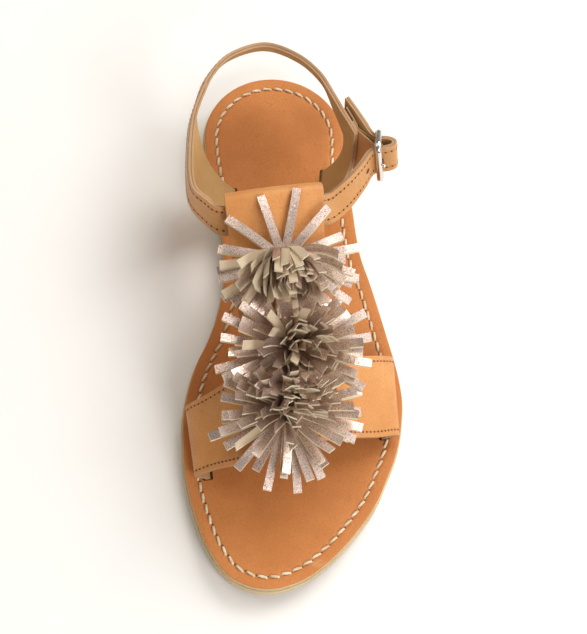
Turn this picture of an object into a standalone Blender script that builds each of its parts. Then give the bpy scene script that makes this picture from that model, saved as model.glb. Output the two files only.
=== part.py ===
"""Girl's flat leather sandal for the left foot, with three fringed pompoms on its T-strap.

Shoe coordinates are millimetres: s runs from the back of the heel to the toe, w to the outer side
of the foot, z up from the floor.  In the model the toe points to -Y and the outer side to +X.
"""
import math

import bmesh
import bpy
import numpy as np
from mathutils import Matrix, Vector

for item in list(bpy.data.objects):
    bpy.data.objects.remove(item, do_unlink=True)

MM = 0.001
GAP = 0.3
HEEL_CENTRE = 27.0
SOLE_END = 202.0
HEEL_RADIUS_IN = 26.9
HEEL_RADIUS_OUT = 27.2
INSOLE_THICK = 2.2
INSOLE_INSET = 0.5
BAND_THICK = 2.0
TEE_THICK = 1.8
TEE_LIFT = 1.0
BAND_BACK = 128.0
BAND_FRONT = 156.0
FOLD_START = 71.6
FOLD_RADIUS = 2.5
STRAP_WIDE = 10.8
STRAP_THICK = 1.9
LEG_THICK = 1.8
SLEEVE_TOP = 72.4
SLEEVE_LOW = 82.0
SLEEVE_LEAN = 2.9
BUCKLE_RIM = np.array((55.6, 35.0, 45.2))
BUCKLE_UP = np.array((-0.39, -0.14, 0.91))
BUCKLE_FACE = np.array((0.12, 1.0, 0.0))
BUCKLE_LONG = 10.6
BUCKLE_TALL = 16.6
BUCKLE_CORNER = 2.6
BUCKLE_WIRE = 0.95
BAR_RADIUS = 0.6
PRONG_RADIUS = 0.6
TAB_THICK = 0.6
STRIP_WIDE = 3.1
STRIP_THICK = 0.9

# Sole outline: s, inner edge w, outer edge w.
OUTLINE = (
    (27.0, -26.9, 27.2),
    (37.0, -26.2, 27.0),
    (47.0, -24.4, 28.2),
    (57.0, -22.4, 29.5),
    (66.0, -20.9, 30.4),
    (75.0, -20.1, 31.8),
    (85.0, -20.2, 34.8),
    (93.0, -21.6, 37.0),
    (101.0, -23.7, 39.0),
    (108.5, -26.6, 40.8),
    (116.0, -30.2, 42.6),
    (124.0, -32.9, 44.0),
    (131.5, -34.6, 44.6),
    (139.0, -35.6, 44.0),
    (146.5, -35.6, 42.8),
    (154.0, -35.4, 40.6),
    (161.5, -34.5, 37.4),
    (169.0, -33.0, 34.0),
    (176.0, -31.0, 29.6),
    (183.0, -28.7, 24.1),
    (190.0, -25.3, 17.6),
    (194.0, -22.7, 13.0),
    (197.5, -19.4, 8.2),
    (200.8, -13.0, 0.7),
    (202.0, -6.0, -6.0),
)

# Outsole heights: s, tread z, top z.
SOLE_SIDE = (
    (0.0, 0.35, 9.0),
    (3.0, 0.0, 9.0),
    (30.0, 0.0, 9.0),
    (46.5, 0.0, 8.7),
    (49.0, 2.6, 8.5),
    (62.0, 2.4, 7.6),
    (78.0, 1.6, 6.4),
    (92.0, 0.6, 5.3),
    (104.0, 0.0, 4.8),
    (128.0, 0.0, 4.5),
    (152.0, 0.0, 4.6),
    (166.0, 0.5, 5.1),
    (182.0, 2.0, 6.5),
    (202.0, 4.6, 8.9),
)

# Instep under the T-strap: s, crown line w, crown z, half width of the strap, slant of its rows,
# how fast it falls to the sides.
INSTEP = (
    (160.0, 3.2, 27.4, 14.0, -0.25, 0.0120),
    (152.0, 3.0, 29.2, 14.0, -0.25, 0.0120),
    (140.0, 2.0, 32.2, 14.3, -0.24, 0.0120),
    (128.0, 1.2, 35.0, 14.6, -0.20, 0.0120),
    (116.0, 0.0, 37.7, 15.0, -0.16, 0.0110),
    (103.0, -1.0, 40.8, 15.5, -0.12, 0.0090),
    (90.5, -2.0, 44.6, 16.0, -0.10, 0.0065),
    (80.0, -2.9, 48.6, 16.7, -0.12, 0.0045),
    (72.0, -3.5, 51.9, 17.2, -0.14, 0.0035),
    (64.0, -4.0, 55.3, 17.4, -0.14, 0.0030),
)

# Toe band flanks from the crown down: back edge s, w, z, then front edge s, w, z.
BAND_INNER = (
    (134.8, -27.2, 22.0, 160.4, -23.8, 17.7),
    (135.5, -32.0, 16.5, 161.0, -28.8, 13.6),
    (135.8, -33.2, 12.8, 161.1, -30.1, 11.4),
    (136.2, -29.4, 8.4, 160.8, -26.8, 8.6),
    (136.4, -29.0, 5.2, 160.6, -26.4, 5.5),
)
BAND_OUTER = (
    (120.8, 30.5, 24.0, 149.6, 31.5, 18.8),
    (118.2, 37.6, 17.2, 147.2, 38.6, 14.0),
    (117.2, 39.9, 12.8, 146.3, 40.8, 11.4),
    (117.4, 36.4, 8.4, 146.1, 37.2, 8.4),
    (117.6, 36.0, 5.1, 146.0, 36.8, 5.1),
)

# Heel sling from the buckle tab round the heel to the inner corner: centre s, w, z, lean s, lean w.
SLING = (
    (45.7, 27.1, 42.3, -0.42, 0.00),
    (41.0, 24.9, 43.4, -0.22, -0.03),
    (35.6, 22.6, 44.0, -0.02, -0.08),
    (29.2, 20.0, 44.0, 0.06, -0.14),
    (19.3, 15.6, 44.0, 0.20, -0.24),
    (10.8, 7.2, 44.0, 0.38, -0.16),
    (6.2, -5.0, 44.0, 0.44, 0.00),
    (10.8, -18.0, 44.0, 0.36, 0.18),
    (19.4, -25.3, 44.0, 0.20, 0.22),
    (29.0, -29.0, 44.2, 0.06, 0.18),
    (38.0, -31.5, 44.5, 0.00, 0.14),
    (49.0, -32.6, 44.8, 0.00, 0.10),
    (61.0, -32.8, 45.1, -0.05, 0.08),
    (68.6, -31.6, 45.3, -0.16, 0.10),
    (73.6, -27.6, 45.4, -0.40, 0.12),
)

# Ankle strap from the T-strap through the buckle to its loose tip, same columns.
ANKLE = (
    (71.2, 19.2, 45.6, -1.05, -0.28),
    (66.4, 24.0, 45.9, -0.82, -0.22),
    (59.8, 28.9, 45.8, -0.58, -0.17),
    (55.0, 31.8, 45.4, -0.45, -0.15),
    (53.1, 35.1, 45.2, -0.43, -0.15),
    (53.0, 37.7, 45.4, -0.43, -0.15),
    (52.0, 40.4, 45.5, -0.43, -0.14),
    (49.8, 40.8, 44.7, -0.43, -0.13),
    (48.1, 38.5, 43.4, -0.43, -0.13),
    (47.6, 35.7, 42.8, -0.43, -0.12),
    (46.0, 33.0, 43.2, -0.42, -0.10),
    (42.0, 30.2, 44.4, -0.36, -0.06),
    (36.8, 27.0, 45.2, -0.25, -0.05),
    (31.4, 24.3, 45.0, -0.12, -0.08),
)

# Legs of the heel sling: slot rear s, w, slot front s, w, first and last sling row, outward w.
INNER_LEG = (48.2, -16.0, 59.0, -14.4, 9.3, 13.3, -29.0)
OUTER_LEG = (40.4, 18.8, 53.4, 17.2, 0.05, 1.5, 27.0)

# Pompoms: name, station on the crown line, sideways distance from it.
POMPOMS = (
    ("pompom_ankle", 92.8, 1.2),
    ("pompom_middle", 124.8, 1.6),
    ("pompom_toe", 143.6, -2.0),
)

# Rings of strips: count, start radius, start height, length, rise, droop, turn of the first strip.
STRIP_RINGS = (
    (13, 3.0, 5.0, 23.5, 20.0, 24.0, 7.0),
    (10, 2.4, 6.6, 16.0, 45.0, 26.0, 20.0),
    (6, 1.4, 8.0, 11.0, 72.0, 18.0, 0.0),
)


def column(table, index):
    """Smooth curve of one table column against s."""
    rows = sorted(table)
    xs = np.array([row[0] for row in rows])
    ys = np.array([row[index] for row in rows])
    slopes = np.gradient(ys, xs)

    def at(s):
        s = min(max(s, xs[0]), xs[-1])
        k = min(int(np.searchsorted(xs, s, side="right")) - 1, len(xs) - 2)
        span = xs[k + 1] - xs[k]
        t = (s - xs[k]) / span
        low = ys[k] * (1 + 2 * t) * (1 - t) ** 2 + ys[k + 1] * t * t * (3 - 2 * t)
        return low + span * (slopes[k] * t * (1 - t) ** 2 - slopes[k + 1] * t * t * (1 - t))

    return at


def straight(table, index):
    """Plain straight-line reading of one table column against s."""
    rows = sorted(table)
    xs = [row[0] for row in rows]
    ys = [row[index] for row in rows]
    return lambda s: float(np.interp(s, xs, ys))


def smooth(rows, steps):
    """Rows of numbers passed through by a smooth curve, with steps to each gap."""
    rows = np.array(rows, dtype=float)
    ends = np.vstack((2 * rows[0] - rows[1], rows, 2 * rows[-1] - rows[-2]))
    made = []
    for k in range(1, len(ends) - 2):
        a, b, c, d = ends[k - 1:k + 3]
        for i in range(steps):
            t = i / steps
            made.append(0.5 * (2 * b + (c - a) * t + (2 * a - 5 * b + 4 * c - d) * t * t
                               + (3 * b - a - 3 * c + d) * t ** 3))
    made.append(rows[-1])
    return made


def world(p):
    """Model position in metres of a point given in shoe coordinates."""
    return Vector((p[1], HEEL_CENTRE - p[0], p[2])) * MM


def turned(d):
    """Model direction of a direction given in shoe coordinates."""
    return Vector((d[1], -d[0], d[2])).normalized()


parts = bpy.data.collections.new("pom_pom_sandal")
bpy.context.scene.collection.children.link(parts)


def new_object(name, bm):
    bmesh.ops.recalc_face_normals(bm, faces=bm.faces)
    mesh = bpy.data.meshes.new(name)
    bm.to_mesh(mesh)
    bm.free()
    made = bpy.data.objects.new(name, mesh)
    parts.objects.link(made)
    return made


def settle(made):
    """Turn an object's modifiers into plain mesh."""
    graph = bpy.context.evaluated_depsgraph_get()
    mesh = bpy.data.meshes.new_from_object(made.evaluated_get(graph))
    made.modifiers.clear()
    made.data = mesh
    return made


def combine(base, other, operation, solver="EXACT"):
    cut = base.modifiers.new(operation.title(), "BOOLEAN")
    cut.operation = operation
    cut.solver = solver
    cut.object = other
    settle(base)
    bpy.data.objects.remove(other, do_unlink=True)
    return base


def drop_voids(made):
    """Leave only the outermost skin of a fused object, so no pocket stays shut inside it."""
    bm = bmesh.new()
    bm.from_mesh(made.data)
    left = set(bm.verts)
    skins = []
    while left:
        front = [left.pop()]
        skin = set(front)
        while front:
            near = {edge.other_vert(v) for v in front for edge in v.link_edges} - skin
            skin |= near
            front = list(near)
        left -= skin
        skins.append(skin)
    outer = max(skins, key=len)
    bmesh.ops.delete(bm, geom=[v for skin in skins if skin is not outer for v in skin], context="VERTS")
    bm.to_mesh(made.data)
    bm.free()


def sheet(name, rows, thick):
    """Leather of even thickness either side of a grid of points."""
    bm = bmesh.new()
    grid = [[bm.verts.new(world(p)) for p in row] for row in rows]
    for low, high in zip(grid, grid[1:]):
        for k in range(len(low) - 1):
            bm.faces.new((low[k], low[k + 1], high[k + 1], high[k]))
    made = new_object(name, bm)
    wall = made.modifiers.new("Wall", "SOLIDIFY")
    wall.thickness = thick * MM
    wall.offset = 0.0
    return settle(made)


def rod(name, start, end, radius, sides):
    """Round bar between two points."""
    a = world(start)
    b = world(end)
    bm = bmesh.new()
    bmesh.ops.create_cone(bm, cap_ends=True, segments=sides, radius1=radius * MM,
                          radius2=radius * MM, depth=(b - a).length)
    turn = Vector((0, 0, 1)).rotation_difference(b - a).to_matrix().to_4x4()
    bmesh.ops.transform(bm, matrix=Matrix.Translation((a + b) / 2) @ turn, verts=bm.verts)
    return new_object(name, bm)


def finish(made, colour, roughness, metallic=0.0):
    material = bpy.data.materials.new(made.name)
    material.use_nodes = True
    shader = material.node_tree.nodes["Principled BSDF"]
    shader.inputs["Base Color"].default_value = (*colour, 1.0)
    shader.inputs["Roughness"].default_value = roughness
    shader.inputs["Metallic"].default_value = metallic
    made.data.materials.clear()
    made.data.materials.append(material)
    made.data.shade_smooth()
    made.data.set_sharp_from_angle(angle=math.radians(35))


# Sole: a slab between two height curves, and the insole laid on it.
tread_at = straight(SOLE_SIDE, 1)
sole_top = column(SOLE_SIDE, 2)
inner_edge = column(OUTLINE, 1)
outer_edge = column(OUTLINE, 2)


def sole_width(s):
    """Inner and outer edge w of the sole at s."""
    if s < HEEL_CENTRE:
        half = math.sqrt(max(1.0 - ((HEEL_CENTRE - s) / HEEL_CENTRE) ** 2, 0.0))
        return -HEEL_RADIUS_IN * half, HEEL_RADIUS_OUT * half
    if s > 183.0:
        reach = math.sqrt(SOLE_END - s)
        toe = [(math.sqrt(SOLE_END - row[0]),) + row[1:] for row in OUTLINE if row[0] > 175.0]
        return column(toe, 1)(reach), column(toe, 2)(reach)
    return inner_edge(s), outer_edge(s)


def sole_stations():
    heel = [HEEL_CENTRE * (1 - math.cos(math.radians(a))) for a in (5, 14, 24, 34, 44, 54, 64, 74, 84)]
    waist = [30.0, 38.0, 46.5, 49.0, 54.0, 62.0, 70.0, 78.0, 85.0, 92.0, 98.0, 104.0]
    ball = [110.0, 116.0, 122.0, 128.0, 134.0, 140.0, 146.0, 152.0, 159.0, 166.0, 172.0, 178.0]
    toe = [SOLE_END - q * q for q in (4.3, 3.8, 3.3, 2.8, 2.3, 1.8, 1.3, 0.8, 0.3)]
    return heel + waist + ball + toe


def sole_slab(name, low, high, inset):
    """Slab of the sole outline between two heights, drawn in by inset."""
    bm = bmesh.new()
    across = (0.0, 0.2, 0.4, 0.6, 0.8, 1.0)
    middle = SOLE_END / 2
    top = []
    bottom = []
    for s in sole_stations():
        inner, outer = sole_width(s)
        inner += inset * min(1.0, (outer - inner) / 12)
        outer -= inset * min(1.0, (outer - inner) / 12)
        drawn = s + inset * (middle - s) / middle
        ws = [inner + (outer - inner) * a for a in across]
        top.append([bm.verts.new(world((drawn, w, high(s)))) for w in ws])
        bottom.append([bm.verts.new(world((drawn, w, low(s)))) for w in ws])
    for grid in (top, bottom):
        for a, b in zip(grid, grid[1:]):
            for k in range(len(across) - 1):
                bm.faces.new((a[k], a[k + 1], b[k + 1], b[k]))
    rim_top = [row[-1] for row in top] + top[-1][-2::-1] + [row[0] for row in top[-2::-1]] + top[0][1:-1]
    rim_low = [row[-1] for row in bottom] + bottom[-1][-2::-1]
    rim_low += [row[0] for row in bottom[-2::-1]] + bottom[0][1:-1]
    for k in range(len(rim_top)):
        n = (k + 1) % len(rim_top)
        bm.faces.new((rim_top[k], rim_top[n], rim_low[n], rim_low[k]))
    return new_object(name, bm)


def insole_low(s):
    return sole_top(s) + GAP


def insole_high(s):
    return sole_top(s) + GAP + INSOLE_THICK


outsole = sole_slab("outsole", tread_at, sole_top, 0.0)
insole = sole_slab("insole", insole_low, insole_high, INSOLE_INSET)


def cut_slot(rear, front, thick):
    """Slot through the insole for a strap end standing between two plan points."""
    a = np.array(rear)
    b = np.array(front)
    along = (b - a) / np.linalg.norm(b - a)
    side = np.array((-along[1], along[0])) * (thick / 2 + GAP)
    a = a - along * GAP
    b = b + along * GAP
    level = sole_top((a[0] + b[0]) / 2)
    bm = bmesh.new()
    ring = [bm.verts.new(world((*p, level - 1.0))) for p in (a + side, b + side, b - side, a - side)]
    base = bm.faces.new(ring)
    lifted = bmesh.ops.extrude_face_region(bm, geom=[base])
    raised = [v for v in lifted["geom"] if isinstance(v, bmesh.types.BMVert)]
    bmesh.ops.translate(bm, verts=raised, vec=(0, 0, 7.0 * MM))
    combine(insole, new_object("slot", bm), "DIFFERENCE")


# Instep: the crowned surface the toe band and the T-strap lie on.
crown_w = column(INSTEP, 1)
crown_z = column(INSTEP, 2)
tee_half = column(INSTEP, 3)
slant = column(INSTEP, 4)
fall = column(INSTEP, 5)


def instep(sc, dw, lift=0.0):
    """Point on the instep by crown station and sideways distance, raised by lift."""
    p = np.array((sc + slant(sc) * dw, crown_w(sc) + dw, crown_z(sc) - fall(sc) * dw * dw))
    return p + lift * instep_frame(sc, dw)[0] if lift else p


def instep_frame(sc, dw):
    """Outward normal and up-slope direction of the instep."""
    up = instep(sc - 0.5, dw) - instep(sc + 0.5, dw)
    over = instep(sc, dw + 0.5) - instep(sc, dw - 0.5)
    normal = np.cross(up, over)
    normal *= np.sign(normal[2])
    return normal / np.linalg.norm(normal), up / np.linalg.norm(up)


# Toe band: a strip over the ball of the foot, both ends let into slots of the insole.
def band_rows():
    crown = [(*instep(BAND_BACK, dw), *instep(BAND_FRONT, dw))
             for dw in (-18.5, -12, -6, 0, 6, 12, 17.5)]
    edges = smooth(list(BAND_INNER[::-1]) + crown + list(BAND_OUTER), 3)
    rows = []
    for edge in edges:
        back, front = edge[:3], edge[3:]
        rows.append([back + (front - back) * f for f in (0.0, 0.33, 0.67, 1.0)])
    return rows


front_upper = sheet("front_upper", band_rows(), BAND_THICK)
for end in (BAND_INNER[-1], BAND_OUTER[-1]):
    cut_slot((end[0], end[1]), (end[3], end[4]), BAND_THICK + 1.0)


# T-strap: up the instep from the band, folded back at the ankle and sewn down as a sleeve.
def tee_across(sc, trim):
    half = tee_half(sc) - trim
    return [half * f for f in (-1.0, -0.5, 0.0, 0.5, 1.0)]


def tee_front():
    rows = [[instep(sc, dw, TEE_LIFT) for dw in tee_across(sc, 0.0)]
            for sc in (153, 146, 138, 128, 118, 108, 98, 90, 84, 78, FOLD_START)]
    for angle in (30, 60, 90, 120, 150, 180, None):
        row = []
        for dw in tee_across(FOLD_START, 0.0):
            normal, up = instep_frame(FOLD_START, dw)
            hub = instep(FOLD_START, dw, TEE_LIFT - FOLD_RADIUS)
            if angle is None:
                row.append(hub - FOLD_RADIUS * normal - 2.0 * up)
            else:
                a = math.radians(angle)
                row.append(hub + FOLD_RADIUS * (math.cos(a) * normal + math.sin(a) * up))
        rows.append(row)
    return rows


def tee_back():
    depth = 2 * FOLD_RADIUS
    drops = ((72.8, depth), (76.0, depth + 0.9), (80.0, depth + 2.1), (83.5, depth + 2.9),
             (86.5, depth + 2.4), (89.5, 4.9), (92.5, 2.7), (95.0, 1.3), (99.0, 0.9))
    return [[instep(sc, dw, TEE_LIFT - drop) for dw in tee_across(sc, 0.4)] for sc, drop in drops]


combine(front_upper, sheet("tee", tee_front(), TEE_THICK), "UNION")
combine(front_upper, sheet("tee_back", tee_back(), TEE_THICK - 0.3), "UNION")


# Heel sling and ankle strap: one strap from the buckle tab round the heel, over the instep and
# through the buckle, with two legs down to the insole.
def strap_edges(row):
    """Top and lower edge of the strap at one row of the table."""
    middle = np.array(row[:3])
    reach = np.array((row[3], row[4], 1.0))
    reach *= STRAP_WIDE / 2 / np.linalg.norm(reach)
    return (*(middle + reach), *(middle - reach))


def sleeve_edges(dw):
    lift = TEE_LIFT - FOLD_RADIUS
    return (*instep(SLEEVE_TOP, dw, lift), *instep(SLEEVE_LOW, dw, lift - SLEEVE_LEAN))


strap_rows = [strap_edges(row) for row in SLING]
strap_rows += [sleeve_edges(dw) for dw in (-19.0, -9.5, 0.0, 9.5, 19.0)]
strap_rows += [strap_edges(row) for row in ANKLE]
STEPS = 3
strap_line = smooth(strap_rows, STEPS)
back_upper = sheet("back_upper", [(edge[:3], edge[3:]) for edge in strap_line], STRAP_THICK)


def strap_point(row, up):
    """Point of the strap's middle layer at a table row number, up from its centre line."""
    k = min(int(row * STEPS), len(strap_line) - 2)
    edge = strap_line[k] + (strap_line[k + 1] - strap_line[k]) * (row * STEPS - k)
    top, low = edge[:3], edge[3:]
    return (top + low) / 2 + (top - low) * up / STRAP_WIDE


def leg_rows(leg):
    """Leg surface from inside the strap down to its slot."""
    s0, w0, s1, w1, first, last, out = leg
    columns = []
    for f in np.linspace(0.0, 1.0, 7):
        foot = np.array((s0 + (s1 - s0) * f, w0 + (w1 - w0) * f, 0.0))
        level = insole_high(foot[0])
        foot[2] = level
        row = first + (last - first) * (f if leg is INNER_LEG else 1 - f)
        inside = strap_point(row, -1.5)
        edge = strap_point(row, -STRAP_WIDE / 2)
        sweep = 0.85 - (0.35 if leg is INNER_LEG else 0.05) * f
        bend = np.array((foot[0] * sweep + edge[0] * (1 - sweep), out, level + 11.0))
        points = [inside, strap_point(row, -4.0), edge]
        for t in (0.3, 0.55, 0.8, 1.0):
            points.append(edge * (1 - t) ** 2 + 2 * bend * t * (1 - t) + foot * t * t)
        points.append(foot - np.array((0.0, 0.0, INSOLE_THICK - 0.1)))
        columns.append(points)
    return [list(row) for row in zip(*columns)]


for leg in (INNER_LEG, OUTER_LEG):
    combine(back_upper, sheet("leg", leg_rows(leg), LEG_THICK), "UNION")
    cut_slot((leg[0], leg[1]), (leg[2], leg[3]), LEG_THICK + 0.9)

# Buckle: a rounded wire frame along the side of the ankle, with a bar across its middle for the tab.
buckle_up = BUCKLE_UP / np.linalg.norm(BUCKLE_UP)
buckle_along = np.cross(BUCKLE_FACE, buckle_up)
buckle_along /= np.linalg.norm(buckle_along)
buckle_out = np.cross(buckle_up, buckle_along)
rim = BUCKLE_RIM
bar = rim - buckle_along * BUCKLE_LONG / 2


def buckle_path():
    """Wire centre line of the frame, a rectangle with round corners."""
    long = BUCKLE_LONG / 2 - BUCKLE_CORNER
    tall = BUCKLE_TALL / 2 - BUCKLE_CORNER
    path = []
    for x, y, start in ((-1, -1, 180), (1, -1, 270), (1, 1, 0), (-1, 1, 90)):
        for k in range(5):
            a = math.radians(start + 22.5 * k)
            along = x * long + BUCKLE_CORNER * math.cos(a)
            up = y * tall + BUCKLE_CORNER * math.sin(a)
            path.append(bar + along * buckle_along + up * buckle_up)
    return path


def wire_ring(name, path, radius, sides):
    """Closed round wire along a ring of points."""
    curve = bpy.data.curves.new(name, "CURVE")
    curve.dimensions = "3D"
    curve.bevel_depth = radius * MM
    curve.bevel_resolution = sides
    line = curve.splines.new("POLY")
    line.points.add(len(path) - 1)
    for point, p in zip(line.points, path):
        point.co = (*world(p), 1.0)
    line.use_cyclic_u = True
    drawn = bpy.data.objects.new(name, curve)
    parts.objects.link(drawn)
    graph = bpy.context.evaluated_depsgraph_get()
    bm = bmesh.new()
    bm.from_mesh(bpy.data.meshes.new_from_object(drawn.evaluated_get(graph)))
    bmesh.ops.remove_doubles(bm, verts=bm.verts, dist=0.00001)
    bpy.data.objects.remove(drawn, do_unlink=True)
    return new_object(name, bm)


buckle_frame = wire_ring("buckle_frame", buckle_path(), BUCKLE_WIRE, 2)
half_bar = buckle_up * BUCKLE_TALL / 2
combine(buckle_frame, rod("bar", bar - half_bar, bar + half_bar, BAR_RADIUS, 12), "UNION")

# Prong: an eye round the bar and a pin through the strap onto the front of the frame.
EYE_WIRE = 0.45
eye_radius = BAR_RADIUS + EYE_WIRE + 0.25
eye = [bar + eye_radius * (math.cos(a) * buckle_along + math.sin(a) * buckle_out)
       for a in np.linspace(0, 2 * math.pi, 13)[:-1]]
buckle_prong = wire_ring("buckle_prong", eye, EYE_WIRE, 1)
pin_start = bar + buckle_along * eye_radius + buckle_out * 0.8
pin_end = rim + buckle_along * 1.2 + buckle_out * (BUCKLE_WIRE + PRONG_RADIUS + GAP + 0.2)
combine(buckle_prong, rod("pin", pin_start, pin_end, PRONG_RADIUS, 8), "UNION")

# Tab: the end of the sling closed round the bar, parted in the middle for the eye of the prong.
half_tab = buckle_up * STRAP_WIDE * 0.48
tab_line = [np.array(p) for p in ((44.2, 26.5, 42.6), (46.6, 28.2, 42.5), (48.3, 30.6, 42.7))] + [bar]
tab = sheet("tab", [(p + half_tab, p - half_tab) for p in tab_line], TAB_THICK * 2 + 0.2)
loop = BAR_RADIUS + GAP + TAB_THICK
combine(tab, rod("loop", bar - half_tab, bar + half_tab, loop, 16), "UNION")
combine(back_upper, tab, "UNION")
bore = rod("bore", bar - half_tab * 1.4, bar + half_tab * 1.4, BAR_RADIUS + GAP, 16)
combine(back_upper, bore, "DIFFERENCE")
half_eye = buckle_up * (EYE_WIRE + GAP + 0.2)
parting = rod("parting", bar - half_eye, bar + half_eye, eye_radius + EYE_WIRE + GAP, 16)
combine(back_upper, parting, "DIFFERENCE")
hole = rod("hole", pin_start, pin_end, PRONG_RADIUS + 0.5, 10)
combine(back_upper, hole, "DIFFERENCE")

# Pompoms: a knot on the T-strap with rings of leather strips fanning from it.
spots = {name: instep(sc, dw) for name, sc, dw in POMPOMS}


def clear_of_others(name, points):
    """Whether strip points stay on this pompom's side of its neighbours."""
    own = spots[name]
    for other, spot in spots.items():
        if other == name:
            continue
        away = spot - own
        half = np.linalg.norm(away) / 2
        away = away / (2 * half)
        if max(float(np.dot(p - own, away)) for p in points) > half - 0.6:
            return False
    return True


def strip_rows(base, normal, ahead, turn, ring, raised, place):
    """Grid of one strip leaving the knot at a turn about its axis, each a little unlike the last."""
    count, radius, height, length, rise, droop, first = ring
    height += 0.37 * (place % 3)
    rise += 5.0 * (place % 2)
    length *= 1.0 - 0.07 * (place * 5 % 4)
    side = np.cross(normal, ahead)
    out = math.cos(turn) * ahead + math.sin(turn) * side
    wide = np.cross(normal, out) * STRIP_WIDE / 2
    p = base + out * radius + normal * height
    rows = [(p - wide, p + wide)]
    for k in range(3):
        a = math.radians(rise + raised * (1 - rise / 90) - droop * (1 - raised / 90) * k / 2)
        p = p + length / 3 * (math.cos(a) * out + math.sin(a) * normal)
        rows.append((p - wide, p + wide))
    return rows


def pompom(name, sc, dw):
    normal, up = instep_frame(sc, dw)
    base = instep(sc, dw, TEE_LIFT + TEE_THICK / 2 + GAP)
    knot = rod(name, base, base + normal * 7.0, 3.4, 14)
    bm = bmesh.new()
    bmesh.ops.create_uvsphere(bm, u_segments=14, v_segments=8, radius=6.4 * MM)
    bmesh.ops.scale(bm, vec=(1, 1, 0.72), verts=bm.verts)
    turn = Vector((0, 0, 1)).rotation_difference(turned(normal)).to_matrix().to_4x4()
    place = Matrix.Translation(world(base + normal * 5.6)) @ turn
    bmesh.ops.transform(bm, matrix=place, verts=bm.verts)
    combine(knot, new_object("core", bm), "UNION")
    for ring in STRIP_RINGS:
        for k in range(ring[0]):
            turn = math.radians(ring[6] + 360 * k / ring[0])
            for raised in range(0, 91, 6):
                rows = strip_rows(base, normal, -up, turn, ring, raised, k)
                if clear_of_others(name, [p for row in rows for p in row]):
                    break
            combine(knot, sheet("strip", rows, STRIP_THICK), "UNION", "MANIFOLD")
    drop_voids(knot)
    return knot


pompoms = [pompom(*row) for row in POMPOMS]

finish(outsole, (0.70, 0.58, 0.41), 0.75)
finish(insole, (0.50, 0.19, 0.065), 0.55)
finish(front_upper, (0.68, 0.36, 0.15), 0.5)
finish(back_upper, (0.66, 0.35, 0.15), 0.52)
finish(buckle_frame, (0.72, 0.72, 0.74), 0.22, 1.0)
finish(buckle_prong, (0.72, 0.72, 0.74), 0.25, 1.0)
for made in pompoms:
    finish(made, (0.55, 0.40, 0.34), 0.4, 0.5)
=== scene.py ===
"""Pom pom sandal, left shoe: every piece as it looks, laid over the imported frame.

Shoe coordinates are millimetres: s runs from the back of the heel to the toe, w to the outer side
of the foot, z up from the floor.  The toe points to -Y and the outer side to +X.
"""
import math
import random

import bmesh
import bpy
import numpy as np
from mathutils import Matrix, Vector, noise

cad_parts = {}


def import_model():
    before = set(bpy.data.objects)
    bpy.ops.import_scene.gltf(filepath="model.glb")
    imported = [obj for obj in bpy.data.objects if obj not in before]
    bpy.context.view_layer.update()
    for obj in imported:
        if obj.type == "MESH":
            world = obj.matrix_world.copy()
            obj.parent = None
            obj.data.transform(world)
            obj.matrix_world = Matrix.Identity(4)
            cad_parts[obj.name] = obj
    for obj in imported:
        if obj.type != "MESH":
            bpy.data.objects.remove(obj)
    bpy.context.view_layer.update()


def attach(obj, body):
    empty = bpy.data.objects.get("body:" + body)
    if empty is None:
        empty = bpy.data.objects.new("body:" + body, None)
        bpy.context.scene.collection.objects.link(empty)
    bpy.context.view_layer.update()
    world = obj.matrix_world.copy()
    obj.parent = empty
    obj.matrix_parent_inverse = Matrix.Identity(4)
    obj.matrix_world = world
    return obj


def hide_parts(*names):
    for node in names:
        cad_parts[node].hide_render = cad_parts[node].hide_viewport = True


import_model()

# Outsole: a runner of natural leather under the whole foot, with a low heel left standing behind a
# shallow step.  Its edge is cut raw and stays cream, its tread is smooth and a little scuffed.
# Outline of the sole: s, inner w, outer w.
OUTLINE = (
    (27.0, -26.9, 27.2), (37.0, -26.2, 27.0), (47.0, -24.4, 28.2), (57.0, -22.4, 29.5),
    (66.0, -20.9, 30.4), (75.0, -20.1, 31.8), (85.0, -20.2, 34.8), (93.0, -21.6, 37.0),
    (101.0, -23.7, 39.0), (108.5, -26.6, 40.8), (116.0, -30.2, 42.6), (124.0, -32.9, 44.0),
    (131.5, -34.6, 44.6), (139.0, -35.6, 44.0), (146.5, -35.6, 42.8), (154.0, -35.4, 40.6),
    (161.5, -34.5, 37.4), (169.0, -33.0, 34.0), (176.0, -31.0, 29.6), (183.0, -28.7, 24.1),
    (190.0, -25.3, 17.6), (194.0, -22.7, 13.0), (197.5, -19.4, 8.2), (200.8, -13.0, 0.7),
    (202.0, -6.0, -6.0),
)
# Side of the sole: s, z of the tread, z of the top.
SOLE_SIDE = (
    (0.0, 0.35, 9.0), (3.0, 0.0, 9.0), (30.0, 0.0, 9.0), (46.5, 0.0, 8.7), (49.0, 2.6, 8.5),
    (62.0, 2.4, 7.6), (78.0, 1.6, 6.4), (92.0, 0.6, 5.3), (104.0, 0.0, 4.8), (128.0, 0.0, 4.5),
    (152.0, 0.0, 4.6), (166.0, 0.5, 5.1), (182.0, 2.0, 6.5), (202.0, 4.6, 8.9),
)
MM = 0.001
HEEL_CENTRE = 27.0
SOLE_END = 202.0
TOE_FROM = 183.0
TOE_TABLE_FROM = 175.0
MIDLINE_ENDS = (26.0, 178.0)
SHARP_FROM = 42


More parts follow.
